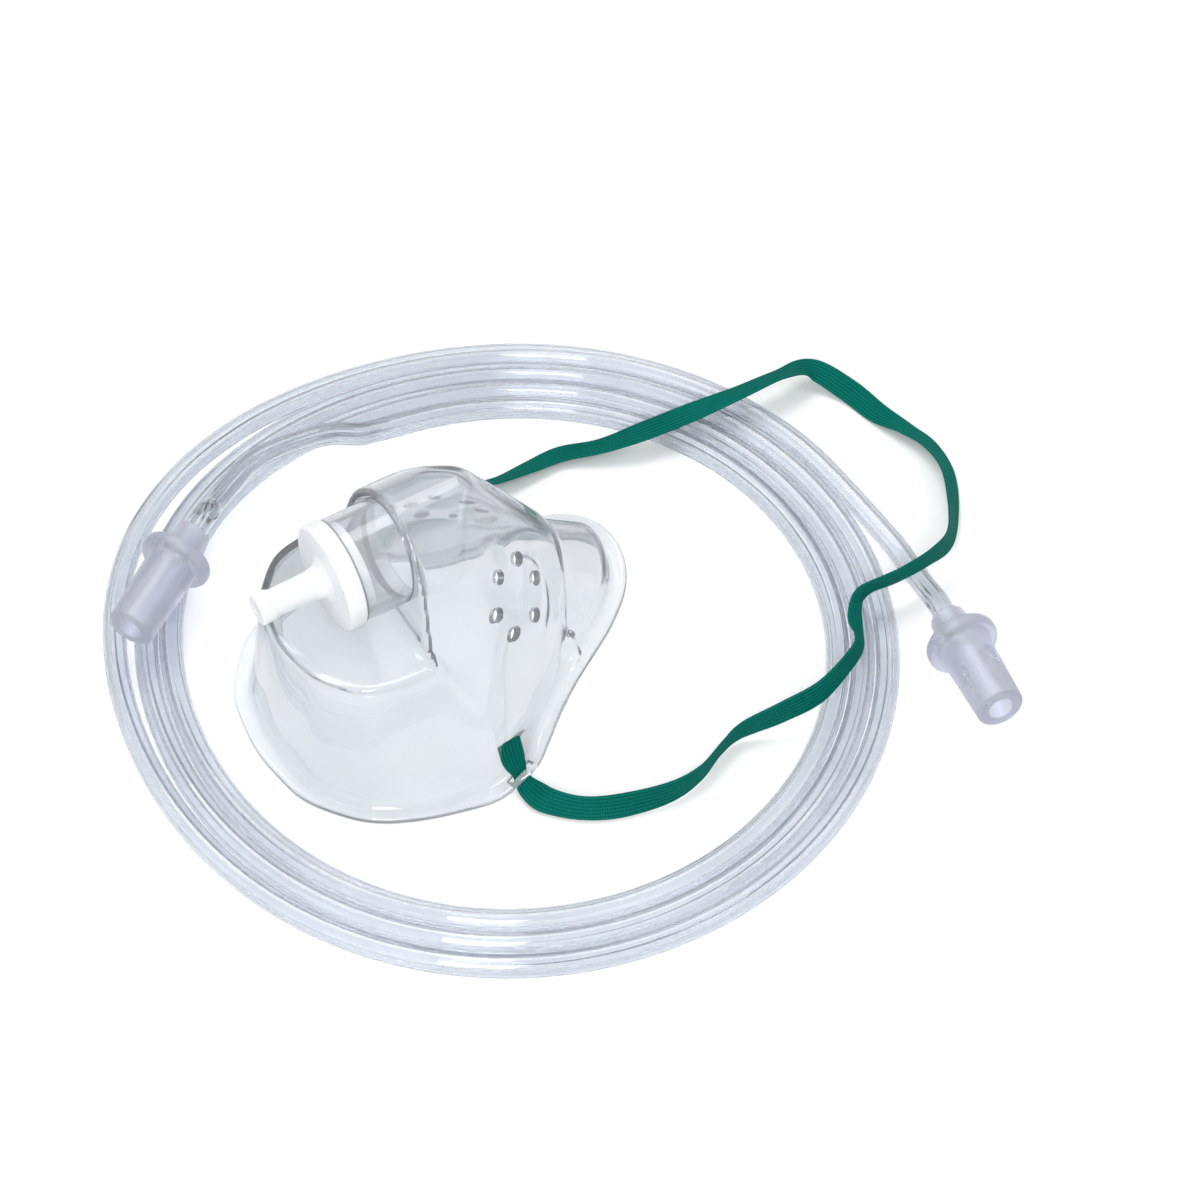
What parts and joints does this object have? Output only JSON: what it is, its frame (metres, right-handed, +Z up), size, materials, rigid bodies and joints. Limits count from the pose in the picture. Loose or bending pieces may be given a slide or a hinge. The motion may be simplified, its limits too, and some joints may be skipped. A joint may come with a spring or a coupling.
{
  "type": "oxygen face mask with tubing",
  "caption": "Clear soft face mask lying face down, with a white gas connector, a green head strap and a separate coil of clear oxygen tubing with soft end connectors.",
  "frame": {"origin": "on the surface that the mask lies on, under the middle of the mask's box; the tubing, its connectors and the strap are not counted", "axes": "+X from the chin to the nose, +Z up, away from the surface; the XZ plane is the mask's plane of symmetry"},
  "size_m": [0.2418, 0.214, 0.0756],
  "materials": {
    "clear_pvc": "clear soft PVC, glossy",
    "white_plastic": "white moulded plastic, soft gloss",
    "green_elastic": "woven elastic tape",
    "clear_tube": "clear extruded PVC with a star bore",
    "lilac_pvc": "translucent lilac-grey soft PVC"
  },
  "bodies": {
    "tubing": {"tube_coil": "clear_tube", "tube_lead_right": "clear_tube", "tube_lead_left": "clear_tube", "tube_connector_right": "lilac_pvc", "tube_connector_left": "lilac_pvc"},
    "mask": {"mask_shell": "clear_pvc", "head_strap": "green_elastic"},
    "connector": {"gas_connector": "white_plastic"}
  },
  "joints": [
    {"name": "mask_lift", "type": "slide", "parent": "tubing", "child": "mask", "axis": [0, 0, 1], "range_m": [0, 0.25]},
    {"name": "connector_turn", "type": "hinge", "parent": "mask", "child": "connector", "pos_m": [-0.03, 0, 0.0585], "axis": [1, 0, 0], "continuous": true}
  ]
}
